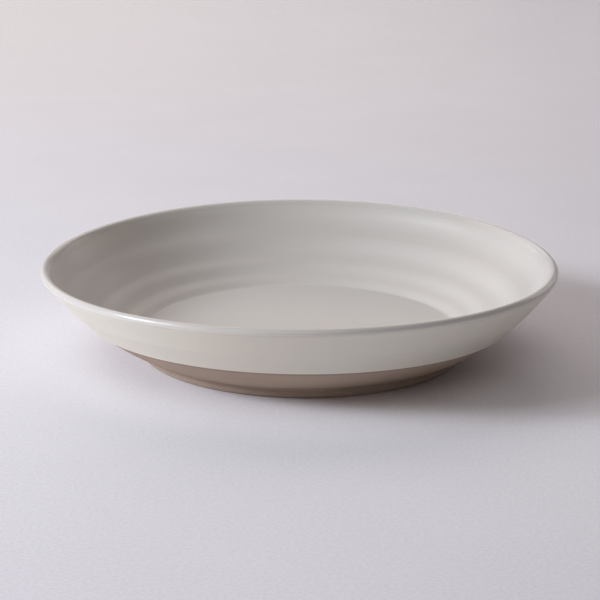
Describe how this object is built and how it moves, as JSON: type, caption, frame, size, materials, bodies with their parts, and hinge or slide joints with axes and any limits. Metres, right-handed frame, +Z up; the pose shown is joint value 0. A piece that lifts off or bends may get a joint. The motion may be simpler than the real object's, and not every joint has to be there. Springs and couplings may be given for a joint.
{
  "type": "serving bowl",
  "caption": "Wide low stoneware serving bowl on a foot ring, with throwing rings inside, a round lip and a satin white glaze that stops at a level line above bare clay.",
  "frame": {"origin": "centre of the foot ring's underside, where the bowl stands", "axes": "+Z up along the turning axis; the bowl is the same all round, so +X and +Y are free"},
  "size_m": [0.32, 0.32, 0.0584],
  "materials": {
    "bare_stoneware": "matte taupe fired clay with fine grog and faint turning lines",
    "turned_stoneware": "matte taupe fired clay, worn smooth where it stands",
    "satin_white_glaze": "satin off-white glaze with a few fine iron specks"
  },
  "bodies": {
    "root": {"stoneware_body": "bare_stoneware", "foot_ring": "turned_stoneware", "glaze_coat": "satin_white_glaze"}
  },
  "joints": []
}
